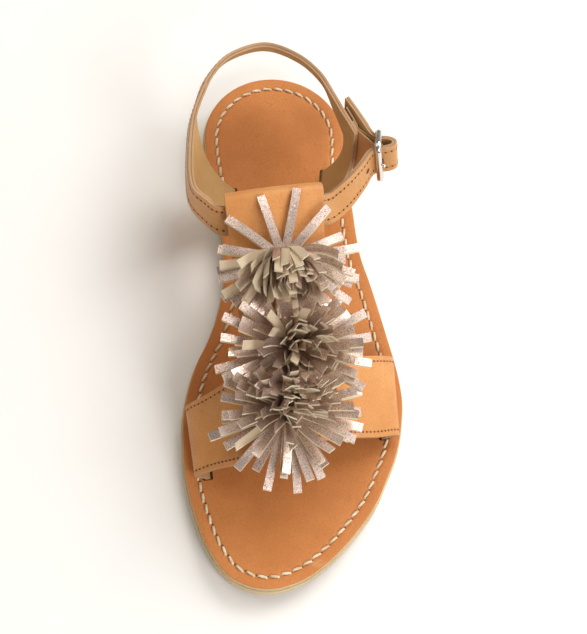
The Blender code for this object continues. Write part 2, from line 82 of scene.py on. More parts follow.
def column(table, index):
    """Smooth curve of one table column against s."""
    rows = sorted(table)
    xs = np.array([row[0] for row in rows])
    ys = np.array([row[index] for row in rows])
    slopes = np.gradient(ys, xs)

    def at(s):
        s = min(max(s, xs[0]), xs[-1])
        k = min(int(np.searchsorted(xs, s, side="right")) - 1, len(xs) - 2)
        span = xs[k + 1] - xs[k]
        t = (s - xs[k]) / span
        low = ys[k] * (1 + 2 * t) * (1 - t) ** 2 + ys[k + 1] * t * t * (3 - 2 * t)
        return low + span * (slopes[k] * t * (1 - t) ** 2 - slopes[k + 1] * t * t * (1 - t))

    return at


def world(p):
    """Model position in metres of a point given in shoe coordinates."""
    return Vector((p[1], HEEL_CENTRE - p[0], p[2])) * MM


def unit(v):
    return v / np.linalg.norm(v)


tread_line = [row[0] for row in SOLE_SIDE], [row[1] for row in SOLE_SIDE]
sole_top = column(SOLE_SIDE, 2)
inner_edge, outer_edge = column(OUTLINE, 1), column(OUTLINE, 2)
toe_rows = [(math.sqrt(SOLE_END - row[0]),) + row[1:] for row in OUTLINE if row[0] > TOE_TABLE_FROM]
inner_toe, outer_toe = column(toe_rows, 1), column(toe_rows, 2)


def tread(s):
    return float(np.interp(s, *tread_line))


def sole_width(s):
    """Inner and outer edge w of the sole at s."""
    if s < HEEL_CENTRE:
        half = math.sqrt(max(1.0 - ((HEEL_CENTRE - s) / HEEL_CENTRE) ** 2, 0.0))
        return OUTLINE[0][1] * half, OUTLINE[0][2] * half
    if s > TOE_FROM:
        reach = math.sqrt(SOLE_END - s)
        return inner_toe(reach), outer_toe(reach)
    return inner_edge(s), outer_edge(s)


stations = [HEEL_CENTRE * (1 - math.cos(math.radians(a))) for a in range(6, 90, 6)]
stations += [27.0, 30.0, 33.0, 36.0, 39.0, 42.0, 44.5, 46.5, 49.0, 51.5]
stations += list(np.linspace(54.0, TOE_FROM, 46))
stations += [SOLE_END - q * q for q in np.linspace(4.1, 0.35, 15)]
outline = [(0.0, 0.0)] + [(s, sole_width(s)[0]) for s in stations] + [(SOLE_END, -6.0)]
outline = np.array(outline + [(s, sole_width(s)[1]) for s in reversed(stations)])
run = np.roll(outline, -1, axis=0) - np.roll(outline, 1, axis=0)
inward = np.stack((run[:, 1], -run[:, 0]), axis=1) / np.linalg.norm(run, axis=1)[:, None]
inward *= np.sign(np.dot(inward[20], np.array((60.0, 0.0)) - outline[20]))


def sole_ring(inset, closing=0.0):
    """Outline drawn in by inset, then part of the way to the midline of the sole."""
    ring = outline + inward * inset
    middle = np.array([(s, sum(sole_width(s)) / 2) for s in np.clip(outline[:, 0], *MIDLINE_ENDS)])
    return ring + (middle - ring) * closing


def sole_slab(name, levels):
    """Slab of rings from its lower midline round the edge to its upper one: height, inset, closing."""
    bm = bmesh.new()
    place = bm.verts.layers.int.new("place")
    ring = bmesh.ops.create_circle(bm, segments=len(outline), radius=1.0)["verts"]
    for k, v in enumerate(ring):
        v[place] = k
    for number, (height, *drawn_in) in enumerate(levels):
        if number:
            grown = bmesh.ops.extrude_edge_only(bm, edges=edges)["geom"]
            ring = [item for item in grown if isinstance(item, bmesh.types.BMVert)]
            edges = [item for item in grown if isinstance(item, bmesh.types.BMEdge)]
            edges = [edge for edge in edges if all(v in ring for v in edge.verts)]
        else:
            edges = bm.edges[:]
        plan = sole_ring(*drawn_in)
        for v in ring:
            s, w = plan[v[place]]
            v.co = world((s, w, height(s, w)))
    bmesh.ops.remove_doubles(bm, verts=bm.verts, dist=0.00001)
    bmesh.ops.recalc_face_normals(bm, faces=bm.faces)
    return new_piece(name, bm)


def new_piece(name, bm):
    mesh = bpy.data.meshes.new(name)
    bm.to_mesh(mesh)
    bm.free()
    piece = bpy.data.objects.new(name, mesh)
    bpy.context.scene.collection.objects.link(piece)
    soften(mesh)
    return piece


def soften(mesh):
    """Smooth shading that stops at cut edges."""
    mesh.shade_smooth()
    mesh.set_sharp_from_angle(angle=math.radians(SHARP_FROM))


def faces_of(verts):
    return {face for v in verts for face in v.link_faces}


def dress(piece, slot, nodes, *materials):
    """Give a piece its materials, hang it on the root body and hide the solids it stands for; its slot is not
    used.
    """
    for material in materials:
        piece.data.materials.append(material)
    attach(piece, "root")
    if nodes:
        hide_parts(*nodes)


def feed(made, inputs):
    """Link or set inputs of a shader node."""
    for key, value in inputs.items():
        if isinstance(value, bpy.types.NodeSocket):
            made.id_data.links.new(value, made.inputs[key])
        else:
            made.inputs[key].default_value = value


def add_node(tree, kind, inputs, **settings):
    """New shader node with its settings and the values or links of its inputs."""
    made = tree.nodes.new(kind)
    for key, value in settings.items():
        setattr(made, key, value)
    feed(made, inputs)
    return made


def object_place(tree):
    return tree.nodes.new("ShaderNodeTexCoord").outputs["Object"]


def blend(tree, share, *ends):
    """Mixed colour between two colours, each given in numbers or as a socket."""
    low, high = ((*end, 1.0) if isinstance(end, tuple) else end for end in ends)
    return add_node(tree, "ShaderNodeMix", {0: share, 6: low, 7: high}, data_type="RGBA").outputs[2]


def ramp(tree, value, low, high, start=0.0, end=1.0):
    """Value carried from the range low to high into the range start to end, smoothly."""
    return add_node(tree, "ShaderNodeMapRange", {0: value, 1: low, 2: high, 3: start, 4: end},
                    interpolation_type="SMOOTHSTEP").outputs[0]


def speckle(tree, place, scale, detail=2.0, roughness=0.5):
    """Cloudy spots, so many to the metre."""
    return add_node(tree, "ShaderNodeTexNoise", {"Vector": place, "Scale": scale, "Detail": detail,
                    "Roughness": roughness}).outputs[0]


def cracks(tree, place, waves, sway, cells):
    """Distance from the walls of small cells that are bent by waves."""
    warp = add_node(tree, "ShaderNodeTexNoise", {"Vector": place, "Scale": waves})
    bent = add_node(tree, "ShaderNodeVectorMath", {0: warp.outputs["Color"], 1: sway}, operation="MULTIPLY")
    moved = add_node(tree, "ShaderNodeVectorMath", {0: place, 1: bent.outputs[0]})
    return add_node(tree, "ShaderNodeTexVoronoi", {"Vector": moved.outputs[0], "Scale": cells},
                    feature="DISTANCE_TO_EDGE").outputs[0]


def bumped(tree, height, strength, distance):
    """Normal of a surface raised by height."""
    return add_node(tree, "ShaderNodeBump", {"Height": height, "Strength": strength,
                    "Distance": distance}).outputs[0]


def new_material(name):
    """New material, its node tree and its shader."""
    material = bpy.data.materials.new(name)
    material.use_nodes = True
    return material, material.node_tree, material.node_tree.nodes["Principled BSDF"]


# Grain of leather: fine creased cells with pores between them, broad tone of the hide, and rubbed spots.
grain = bpy.data.node_groups.new("leather_grain", "ShaderNodeTree")
for label, kind in (("Place", "Vector"), ("Cells", "Float")):
    grain.interface.new_socket(label, in_out="INPUT", socket_type="NodeSocket" + kind)
for label in ("Height", "Tone", "Rub"):
    grain.interface.new_socket(label, in_out="OUTPUT", socket_type="NodeSocketFloat")
place, cells = grain.nodes.new("NodeGroupInput").outputs[:2]
crease = ramp(grain, cracks(grain, place, 420.0, (0.0009, 0.0009, 0.0009), cells), 0.0, 0.16)
height = add_node(grain, "ShaderNodeMath", {0: speckle(grain, place, 3800.0), 1: 0.55, 2: crease},
                  operation="MULTIPLY_ADD")
feed(grain.nodes.new("NodeGroupOutput"), {
    "Height": height.outputs[0],
    "Tone": ramp(grain, speckle(grain, place, 38.0, 5.0, 0.62), 0.32, 0.68),
    "Rub": ramp(grain, speckle(grain, place, 120.0, 4.0, 0.7), 0.52, 0.72)})


def leather(name, pale, deep, roughness, size=900.0, relief=0.25, coat=0.0, specular=0.32):
    """Leather of two near tones with a grain of so many cells to the metre."""
    material, tree, shader = new_material(name)
    skin = add_node(tree, "ShaderNodeGroup", {"Place": object_place(tree), "Cells": size}, node_tree=grain)
    raised, tone, rub = skin.outputs
    shade = tuple(0.86 * c for c in deep)
    feed(shader, {
        "Base Color": blend(tree, ramp(tree, raised, 0.1, 0.6), shade, blend(tree, tone, deep, pale)),
        "Roughness": ramp(tree, rub, 0.0, 1.0, roughness, roughness - 0.12),
        "Normal": bumped(tree, raised, relief, 0.00025),
        "Coat Weight": coat, "Coat Roughness": 0.35, "Specular IOR Level": specular})
    return material


raw_edge = leather("raw_cream_edge", (0.74, 0.60, 0.38), (0.60, 0.46, 0.27), 0.82, 2400.0, 0.4)
tread_leather = leather("tread_leather", (0.47, 0.26, 0.12), (0.36, 0.18, 0.08), 0.62, 700.0, 0.3)


def above(line, lift):
    return lambda s, w: line(s) + lift


low, top = above(tread, 0.0), above(sole_top, 0.0)
outsole = sole_slab("outsole_runner", [
    (low, 12.0, 1.0), (low, 12.0, 0.5), (low, 12.0), (low, 6.0), (low, 2.0), (low, 0.7),
    (above(tread, 0.15), 0.25), (above(tread, 0.6), 0.0), (above(sole_top, -1.5), 0.0),
    (above(sole_top, -0.5), 0.0), (above(sole_top, -0.15), 0.12), (top, 0.45), (top, 2.0), (top, 8.0),
    (top, 12.0, 0.5), (top, 12.0, 1.0)])
dress(outsole, "outsole", ("outsole",), raw_edge, tread_leather)
for face in outsole.data.polygons:
    face.material_index = 1 if face.normal.z < -0.8 else 0

# Insole: tan leather cut a hair inside the outsole, with a stitch channel round it and four slots that the
# strap ends go down through.  It is polished by hand and carries a few rubs and one scuff near the toe.
INSOLE_THICK = 2.2
INSOLE_LOW = 0.3
THREAD_IN = 5.0
CHANNEL_DEEP = 0.42
SLOT_ROOM = (0.9, 0.7)
SCUFF_AT = (0.0107, -0.1650, 0.0082)
# Prints of the heel and the ball of the foot: middle s and w, half length and width, depth.
PRINTS = ((30, 0, 20, 15, 0.45), (138, 4, 22, 22, 0.40))
# Ends of the toe band on each side: rear and front edge of each row, down to the slot.
BAND_INNER = (
    (134.8, -27.2, 22.0, 160.4, -23.8, 17.7), (135.5, -32.0, 16.5, 161.0, -28.8, 13.6),
    (135.8, -33.2, 12.8, 161.1, -30.1, 11.4), (136.2, -29.4, 8.4, 160.8, -26.8, 8.6),
    (136.4, -29.0, 5.2, 160.6, -26.4, 5.5),
)
BAND_OUTER = (
    (120.8, 30.5, 24.0, 149.6, 31.5, 18.8), (118.2, 37.6, 17.2, 147.2, 38.6, 14.0),
    (117.2, 39.9, 12.8, 146.3, 40.8, 11.4), (117.4, 36.4, 8.4, 146.1, 37.2, 8.4),
    (117.6, 36.0, 5.1, 146.0, 36.8, 5.1),
)
# Legs of the heel sling: slot rear s, w, slot front s, w, first and last row of the sling, outward w.
INNER_LEG = (48.2, -16.0, 59.0, -14.4, 9.3, 13.3, -29.0)
OUTER_LEG = (40.4, 18.8, 53.4, 17.2, 0.05, 1.5, 27.0)


def insole_level(drop, worn=0.0):
    """Insole top less a drop, with the shallow print of a foot where it is worn."""
    def level(s, w):
        pressed = sum(deep * math.exp(-((s - s0) / long) ** 2 - ((w - w0) / wide) ** 2)
                      for s0, w0, long, wide, deep in PRINTS)
        wave = noise.noise(Vector((s * 0.045, w * 0.06, 3.7))) * 0.22
        return sole_top(s) + INSOLE_LOW + INSOLE_THICK - drop - worn * (pressed - wave)
    return level


def insole_under(lift):
    return lambda s, w: sole_top(s) + INSOLE_LOW + lift


under, flat, worn = insole_under(0.0), insole_level(0.0), insole_level(0.0, 1.0)
insole = sole_slab("insole_leather", [
    (under, 12.0, 1.0), (under, 12.0, 0.4), (under, 12.0), (under, 1.0), (insole_under(0.15), 0.6),
    (insole_under(0.5), 0.5), (insole_level(0.55), 0.5), (insole_level(0.22), 0.6),
    (insole_level(0.04), 0.95), (flat, 1.6), (flat, 3.4), (insole_level(0.06), 4.1), (insole_level(0.3), 4.5),
    (insole_level(CHANNEL_DEEP), THREAD_IN), (insole_level(0.3), 5.5), (insole_level(0.06), 5.9), (flat, 6.6),
    (insole_level(0.0, 0.6), 9.0), (worn, 12.0), (worn, 12.0, 0.25), (worn, 12.0, 0.5), (worn, 12.0, 0.75),
    (worn, 12.0, 1.0)])


def finished_mesh(made):
    return bpy.data.meshes.new_from_object(made.evaluated_get(bpy.context.evaluated_depsgraph_get()))


def cut_slot(rear, front, thick):
    """Slot through the insole for a strap end that stands between two plan points."""
    a = np.array(rear)
    b = np.array(front)
    along = unit(b - a)
    side = np.array((-along[1], along[0]))
    middle = (a + b) / 2
    bm = bmesh.new()
    bmesh.ops.create_cube(bm, size=1.0)
    upright = [edge for edge in bm.edges if abs(edge.verts[0].co.z - edge.verts[1].co.z) > 0.5]
    for v in bm.verts:
        plan = middle + along * v.co.x * (np.linalg.norm(b - a) + SLOT_ROOM[0])
        plan = plan + side * v.co.y * (thick + SLOT_ROOM[1])
        v.co = world((*plan, sole_top(middle[0]) + 1.5 + 8.0 * v.co.z))
    bmesh.ops.bevel(bm, geom=upright, offset=0.0006, segments=4, profile=0.5, affect="EDGES", material=-1)
    bmesh.ops.recalc_face_normals(bm, faces=bm.faces)
    punch = new_piece("slot_punch", bm)
    cut = insole.modifiers.new("Slot", "BOOLEAN")
    cut.operation = "DIFFERENCE"
    cut.solver = "EXACT"
    cut.object = punch
    cut_mesh = finished_mesh(insole)
    insole.modifiers.clear()
    insole.data = cut_mesh
    bpy.data.objects.remove(punch, do_unlink=True)


for rear, front, thick in ((BAND_INNER[-1][:2], BAND_INNER[-1][3:5], 3.0),
                           (BAND_OUTER[-1][:2], BAND_OUTER[-1][3:5], 3.0),
                           (INNER_LEG[:2], INNER_LEG[2:4], 2.7), (OUTER_LEG[:2], OUTER_LEG[2:4], 2.7)):
    cut_slot(rear, front, thick)

insole_skin = leather("insole_skin", (0.61, 0.236, 0.073), (0.53, 0.193, 0.056), 0.64, 780.0, 0.14, 0.02,
                      0.18)
tree = insole_skin.node_tree
shader = tree.nodes["Principled BSDF"]
spot = object_place(tree)
away = add_node(tree, "ShaderNodeVectorMath", {0: spot, 1: SCUFF_AT}, operation="SUBTRACT")
patch = add_node(tree, "ShaderNodeVectorMath", {0: away.outputs[0], 1: (260.0, 420.0, 100.0)},
                 operation="MULTIPLY")
reach = add_node(tree, "ShaderNodeVectorMath", {0: patch.outputs[0]}, operation="LENGTH")
near = add_node(tree, "ShaderNodeMath", {0: speckle(tree, spot, 900.0, 4.0), 1: 1.6,
                2: reach.outputs["Value"]}, operation="MULTIPLY_ADD")
scuff = ramp(tree, near.outputs[0], 1.05, 1.6, 0.3, 0.0)
rubs = ramp(tree, speckle(tree, spot, 26.0, 6.0, 0.7), 0.5, 0.75, 0.0, 0.25)
skin_colour = shader.inputs["Base Color"].links[0].from_socket
rubbed = blend(tree, rubs, skin_colour, (0.58, 0.235, 0.075))
feed(shader, {"Base Color": blend(tree, scuff, rubbed, (0.70, 0.42, 0.22))})
dress(insole, "insole", ("insole",), insole_skin, raw_edge)
for face in insole.data.polygons:
    face.material_index = 0 if face.normal.z > 0.35 else 1
soften(insole.data)

# Sole thread: thick waxed two-ply thread that sews the insole to the outsole.  Each stitch lies in the
# channel a little aslant and goes down through an awl hole at both ends; each hole is a flat dark disc
# of painted shade.
STITCH_PITCH = 4.2
STITCH_SLANT = -11
THREAD_RADIUS = 0.50
PLY_LOBE, PLY_TWIST = 0.17, 3.4
THREAD_PROUD = 0.55


def even_line(points, pitch):
    """Points and directions at even steps along a closed plan line."""
    loop = np.vstack((points, points[:1]))
    steps = np.linalg.norm(np.diff(loop, axis=0), axis=1)
    length = np.concatenate(((0.0,), np.cumsum(steps)))
    count = int(round(length[-1] / pitch))
    marks = (np.arange(count) + 0.5) * length[-1] / count
    spots = np.stack([np.interp(marks, length, loop[:, k]) for k in (0, 1)], axis=1)
    ahead = np.roll(spots, -1, axis=0) - np.roll(spots, 1, axis=0)
    return spots, ahead / np.linalg.norm(ahead, axis=1)[:, None], length[-1] / count


thread_line, thread_way, stitch_long = even_line(sole_ring(THREAD_IN), STITCH_PITCH)
bm = bmesh.new()
hand = random.Random(4)
for (s, w), way in zip(thread_line, thread_way):
    aslant = math.radians(STITCH_SLANT + hand.uniform(-3, 3))
    way = Vector((way[1], -way[0], 0.0))
    way.rotate(Matrix.Rotation(aslant, 3, "Z"))
    side = Vector((-way.y, way.x, 0.0))
    base = world((s, w, insole_level(CHANNEL_DEEP)(s, w)))
    half = stitch_long * MM * hand.uniform(0.465, 0.488)
    ply = bmesh.ops.create_uvsphere(bm, u_segments=10, v_segments=10, radius=1.0)["verts"]
    for v in ply:
        t = v.co.z
        turn = math.atan2(v.co.y, v.co.x)
        full = (1 - abs(t) ** 5) ** 0.5 if abs(t) < 1 else 0.0
        lobes = 1.0 + PLY_LOBE * math.cos(2 * (turn - PLY_TWIST * t))
        across = full * THREAD_RADIUS * MM * lobes
        proud = THREAD_PROUD * MM * (1.0 - 1.9 * t ** 6)
        v.co = base + way * (t * half) + side * (across * math.cos(turn))
        v.co.z += across * math.sin(turn) * 0.85 + proud
    # Painted shade: a flat dark disc at each end of the stitch stands in for the shaded awl hole.
    for end in (-1.0, 1.0):
        hole_shade_disc = bmesh.ops.create_circle(bm, cap_ends=True, segments=9, radius=0.00038)["verts"]
        for v in hole_shade_disc:
            v.co = base + way * (end * half * 1.04 + v.co.x * 1.1) + side * v.co.y
            v.co.z += 0.06 * MM
        for face in faces_of(hole_shade_disc):
            face.material_index = 1
sole_thread = new_piece("sole_thread", bm)


def thread(name, colour, shade):
    """Waxed thread, a colour and a darker tone mixed in broad patches and fine fibres."""
    material, tree, shader = new_material(name)
    place = object_place(tree)
    fibre = speckle(tree, place, 5200.0, 3.0)
    tone = blend(tree, ramp(tree, speckle(tree, place, 240.0, 3.0), 0.35, 0.65), shade, colour)
    feed(shader, {"Base Color": blend(tree, ramp(tree, fibre, 0.3, 0.7, 0.25, 0.0), tone, shade),
                  "Roughness": 0.7, "Normal": bumped(tree, fibre, 0.4, 0.0001)})
    return material


cream_thread = thread("cream_waxed_thread", (0.84, 0.74, 0.55), (0.66, 0.52, 0.33))
# Painted shade: the dark brown of the flat discs that stand in for the shaded insides of pricked, awl and
# punched holes.
painted_hole_shade = leather("painted_hole_shade", (0.20, 0.078, 0.028), (0.13, 0.047, 0.017), 0.9)
dress(sole_thread, "insole", (), cream_thread, painted_hole_shade)

# Toe band: a strip of peach leather over the ball of the foot, backed with a thin lining and sewn along
# both edges.  It bulges past the insole on each side, then turns in and goes down through its slots.
# Crown of the foot: station, crown w, crown z, half width of the T-strap, slant, fall to the sides.
INSTEP = (
    (160.0, 3.2, 27.4, 14.0, -0.25, 0.0120), (152.0, 3.0, 29.2, 14.0, -0.25, 0.0120),
    (140.0, 2.0, 32.2, 14.3, -0.24, 0.0120), (128.0, 1.2, 35.0, 14.6, -0.20, 0.0120),
    (116.0, 0.0, 37.7, 15.0, -0.16, 0.0110), (103.0, -1.0, 40.8, 15.5, -0.12, 0.0090),
    (90.5, -2.0, 44.6, 16.0, -0.10, 0.0065), (80.0, -2.9, 48.6, 16.7, -0.12, 0.0045),
    (72.0, -3.5, 51.9, 17.2, -0.14, 0.0035), (64.0, -4.0, 55.3, 17.4, -0.14, 0.0030),
)
BAND_BACK = 128.0
BAND_FRONT = 156.0
HEM = 2.0
# Thread of a stitch and the flat dark disc of painted shade at its hole: half length as a share of a stitch,
# half width in millimetres.
THREAD_SIZE = (0.30, 0.22)
HOLE_SHADE_SIZE = (0.24, 0.38)
crown_w, crown_z, tee_half, slant, fall = (column(INSTEP, k) for k in range(1, 6))


def instep(sc, dw, lift=0.0):
    """Point on the crown of the foot by station and sideways distance, raised by lift."""
    p = np.array((sc + slant(sc) * dw, crown_w(sc) + dw, crown_z(sc) - fall(sc) * dw * dw))
    return p + lift * instep_frame(sc, dw)[0] if lift else p


def instep_frame(sc, dw):
    """Outward normal and up-slope direction of the crown of the foot."""
    up = instep(sc - 0.5, dw) - instep(sc + 0.5, dw)
    over = instep(sc, dw + 0.5) - instep(sc, dw - 0.5)
    normal = np.cross(up, over)
    normal *= np.sign(normal[2])
    return unit(normal), unit(up)


def smooth(rows, steps):
    """Rows of numbers passed through by a smooth curve, with steps to each gap."""
    rows = np.array(rows, dtype=float)
    ends = np.vstack((2 * rows[0] - rows[1], rows, 2 * rows[-1] - rows[-2]))
    made = []
    for k in range(1, len(ends) - 2):
        a, b, c, d = ends[k - 1:k + 3]
        for i in range(steps):
            t = i / steps
            made.append(0.5 * (2 * b + (c - a) * t + (2 * a - 5 * b + 4 * c - d) * t * t
                               + (3 * b - a - 3 * c + d) * t ** 3))
    made.append(rows[-1])
    return made


class Cut:
    """A strip as it is cut from the hide, laid along rows of points across it."""

    def __init__(self, rows):
        self.rows = np.array([np.reshape(row, (-1, 3)) for row in rows])
        middle = self.rows.mean(axis=1)
        steps = np.linalg.norm(np.diff(middle, axis=0), axis=1)
        self.marks = np.concatenate(((0.0,), np.cumsum(steps)))
        self.long = self.marks[-1]
        half = self.rows[len(self.rows) // 2]
        self.wide = np.linalg.norm(np.diff(half, axis=0), axis=1).sum()

    def place(self, u, v, lift=0.0):
        """Shoe point at a share of the length and of the width, lifted off the middle layer."""
        mark = min(max(u, 0.0), 1.0) * self.long
        k = min(int(np.searchsorted(self.marks, mark, side="right")) - 1, len(self.marks) - 2)
        f = (mark - self.marks[k]) / (self.marks[k + 1] - self.marks[k])
        row = self.rows[k] * (1 - f) + self.rows[k + 1] * f
        x = min(max(v, 0.0), 1.0) * (len(row) - 1)
        j = min(int(x), len(row) - 2)
        p = row[j] * (1 - (x - j)) + row[j + 1] * (x - j)
        return p + lift * self.lie(u, v)[0] if lift else p

    def lie(self, u, v):
        """Outward normal and lengthwise direction there, in shoe coordinates."""
        along = self.place(min(u + 0.004, 1.0), v) - self.place(max(u - 0.004, 0.0), v)
        over = self.place(u, min(v + 0.05, 1.0)) - self.place(u, max(v - 0.05, 0.0))
        normal = np.cross(along, over)
        return unit(normal), unit(along)

    def sink(self, u, v, creases):
        """Relief of soft creases there: a trough with raised sides between two points of the cut."""
        size = np.array((self.long, self.wide))
        relief = 0.0
        for u0, v0, u1, v1, wide, deep in creases:
            run = np.array((u1 - u0, v1 - v0)) * size
            off = np.array((u - u0, v - v0)) * size
            off = off - run * min(max(np.dot(off, run) / np.dot(run, run), 0.0), 1.0)
            x = np.dot(off, off) / wide ** 2
            relief -= deep * (1 - x) * math.exp(-x)
        return relief


def leather_strip(name, cut, cells, thick, lift, faces, edge=0.3, nodes=(), notch=None, creases=()):
    """Piece of the upper: a strip of even thickness with rounded edges, its outer face, inner face and edge
    of the given leathers, notched between two shares of its length and width."""
    bm = bmesh.new()
    bmesh.ops.create_grid(bm, x_segments=cells[0], y_segments=cells[1], size=0.5)
    if notch:
        u0, u1, v0, v1 = notch
        inside = [f for f in bm.faces if u0 < f.calc_center_median().x + 0.5 < u1
                  and v0 < f.calc_center_median().y + 0.5 < v1]
        bmesh.ops.delete(bm, geom=inside, context="FACES")
    for vert in bm.verts:
        u, v = vert.co.x + 0.5, vert.co.y + 0.5
        vert.co = world(cut.place(u, v, lift + cut.sink(u, v, creases)))
    piece = new_piece(name, bm)
    wall = piece.modifiers.new("Leather", "SOLIDIFY")
    wall.thickness = thick * MM
    wall.offset = 0.0
    wall.material_offset = 1
    wall.material_offset_rim = 2
    rounding = piece.modifiers.new("Edge", "BEVEL")
    rounding.width = edge * MM
    rounding.segments = 3
    rounding.limit_method = "ANGLE"
    rounding.angle_limit = math.radians(60)
    rounding.harden_normals = True
    dress(piece, "upper", nodes, *faces)


def sew(bm, cut, v, start, end, pitch, lift):
    """Row of machine stitches along a strip: thread between pricked holes, in millimetres of length.  Each
    hole is a flat dark disc of painted shade.
    """
    count = max(int(round((end - start) / pitch)), 1)
    step = (end - start) / count
    for k in range(count):
        for index, (share, wide) in enumerate((THREAD_SIZE, HOLE_SHADE_SIZE)):
            half = share * step
            u = (start + step * (k if index else k + 0.5)) / cut.long
            normal, along = cut.lie(u, v)
            p = cut.place(u, v)
            side = np.cross(normal, along)
            # Painted shade: the hole is a flat dark disc just above the strip.
            if index:
                made = bmesh.ops.create_circle(bm, cap_ends=True, segments=8, radius=1.0)["verts"]
            else:
                made = bmesh.ops.create_uvsphere(bm, u_segments=6, v_segments=4, radius=1.0)["verts"]
            for vert in made:
                a, b, c = (vert.co.x, vert.co.y, 0.0) if index else (vert.co.z, vert.co.x, vert.co.y)
                rise = lift + (0.035 if index else 0.02 + 0.17 * c)
                vert.co = world(p + along * a * half + side * b * wide + normal * rise)
            for face in faces_of(made):
                face.material_index = index
                face.smooth = not index


def edge_rows(wide, hem):
    """Width shares of a row of stitches by each edge."""
    return hem / wide, 1 - hem / wide


def sewn(name, bm):
    dress(new_piece(name, bm), "upper", (), tan_thread, painted_hole_shade)


band_rows = [(*instep(BAND_BACK, dw), *instep(BAND_FRONT, dw)) for dw in (-18.5, -12, -6, 0, 6, 12, 17.5)]
band_rows = [*BAND_INNER[::-1], *band_rows, *BAND_OUTER]
band_cut = Cut(smooth([(*row[3:], *row[:3]) for row in band_rows], 8))
peach_leather = leather("peach_leather", (0.70, 0.325, 0.108), (0.60, 0.250, 0.072), 0.48, 820.0, 0.12, 0.2)
pale_lining = leather("pale_lining", (0.53, 0.328, 0.134), (0.45, 0.265, 0.102), 0.7, 1300.0, 0.2)
cut_edge = leather("cut_edge", (0.55, 0.350, 0.205), (0.45, 0.270, 0.145), 0.75, 2600.0, 0.35)
# Creases where the band bends down: length and width share at both ends, width and depth in millimetres.
BAND_CREASES = (
    (0.150, 0.08, 0.158, 0.60, 1.3, 0.22), (0.182, 0.40, 0.178, 0.90, 1.2, 0.16),
    (0.842, 0.40, 0.850, 0.92, 1.3, 0.22), (0.815, 0.10, 0.820, 0.55, 1.2, 0.16),
)
tan_thread = thread("tan_thread", (0.56, 0.29, 0.115), (0.44, 0.21, 0.08))
lining = pale_lining, pale_lining, cut_edge
leather_strip("toe_band", band_cut, (96, 14), 1.15, 0.42, (peach_leather, cut_edge, cut_edge),
              nodes=("front_upper",), creases=BAND_CREASES)
leather_strip("toe_band_lining", band_cut, (96, 10), 0.8, -0.58, lining, 0.22)
bm = bmesh.new()
for row in edge_rows(band_cut.wide, HEM):
    sew(bm, band_cut, row, 5.0, band_cut.long - 5.0, 1.8, 1.0)
sewn("toe_band_stitches", bm)

# T-strap: one strip of the same leather from the band up the instep, rolled over at the ankle and sewn
# down behind as a sleeve for the ankle strap.  Its cut sides stay pale.
TEE_THICK = 1.8
TEE_LIFT = 1.0
FOLD_START = 71.6
FOLD_RADIUS = 2.5
SEAM_AT = 91.5
TEE_ACROSS = 11
# Drop of the sleeve's back layer below the T-strap, by station.
SLEEVE_DROP = (
    (72.8, 5.0), (76.0, 5.9), (80.0, 7.1), (83.5, 7.9), (86.5, 7.4), (89.5, 4.9), (92.5, 2.9),
    (96.0, 1.9), (100.0, 1.75),
)


def tee_lift(sc):
    """Height of the T-strap's middle layer, which climbs over the band in front."""
    t = min(max((sc - 118.0) / 9.0, 0.0), 1.0)
    return TEE_LIFT + 0.95 * t * t * (3 - 2 * t)


def tee_row(sc, trim, lift):
    half = tee_half(sc) - trim
    return [instep(sc, dw, lift) for dw in np.linspace(half, -half, TEE_ACROSS)]


tee_rows = [tee_row(sc, 0.0, tee_lift(sc)) for sc in np.arange(153.0, FOLD_START, -1.7)]
for angle in np.linspace(0, 180, 19):
    swing = math.radians(angle)
    turn = []
    for dw in np.linspace(tee_half(FOLD_START), -tee_half(FOLD_START), TEE_ACROSS):
        normal, up = instep_frame(FOLD_START, dw)
        hub = instep(FOLD_START, dw, TEE_LIFT - FOLD_RADIUS)
        turn.append(hub + FOLD_RADIUS * (math.cos(swing) * normal + math.sin(swing) * up))
    tee_rows.append(turn)
drop_at = column(SLEEVE_DROP, 1)
tee_rows += [tee_row(sc, 0.15, TEE_LIFT - drop_at(sc)) for sc in np.arange(73.2, 100.0, 1.4)]
tee_cut = Cut(tee_rows)
# Creases below the fold, where the T-strap bends with the ankle, in the same columns.
TEE_CREASES = (
    (0.676, 0.07, 0.662, 0.34, 1.0, 0.20), (0.646, 0.16, 0.640, 0.50, 1.0, 0.15),
    (0.660, 0.62, 0.674, 0.93, 1.1, 0.18), (0.622, 0.70, 0.614, 0.95, 1.0, 0.14),
)
leather_strip("tee_strap", tee_cut, (150, 26), TEE_THICK - 0.1, 0.0, (peach_leather, pale_lining, cut_edge),
              0.35, creases=TEE_CREASES)
seam_cut = Cut([[instep(sc, dw, TEE_LIFT) for sc in (SEAM_AT + 2, SEAM_AT - 2)]
                for dw in np.linspace(-14.6, 14.6, 15)])
bm = bmesh.new()
sew(bm, seam_cut, 0.5, 0.6, seam_cut.long - 0.6, 2.1, TEE_THICK / 2 - 0.05)
sewn("tee_strap_seam", bm)

# Heel sling and ankle strap: one long strap of tan leather on a pale lining, from the buckle tab round the
# heel, through the sleeve of the T-strap and the buckle to its loose end.  Both layers are sewn at the edges.
# Rows of the strap: its middle s, w, z, and its lean in s and w.
SLING = (
    (45.7, 27.1, 42.3, -0.42, 0.00), (41.0, 24.9, 43.4, -0.22, -0.03), (35.6, 22.6, 44.0, -0.02, -0.08),
    (29.2, 20.0, 44.0, 0.06, -0.14), (19.3, 15.6, 44.0, 0.20, -0.24), (10.8, 7.2, 44.0, 0.38, -0.16),
    (6.2, -5.0, 44.0, 0.44, 0.00), (10.8, -18.0, 44.0, 0.36, 0.18), (19.4, -25.3, 44.0, 0.20, 0.22),
    (29.0, -29.0, 44.2, 0.06, 0.18), (38.0, -31.5, 44.5, 0.00, 0.14), (49.0, -32.6, 44.8, 0.00, 0.10),
    (61.0, -32.8, 45.1, -0.05, 0.08), (68.6, -31.6, 45.3, -0.16, 0.10), (73.6, -27.6, 45.4, -0.40, 0.12),
)
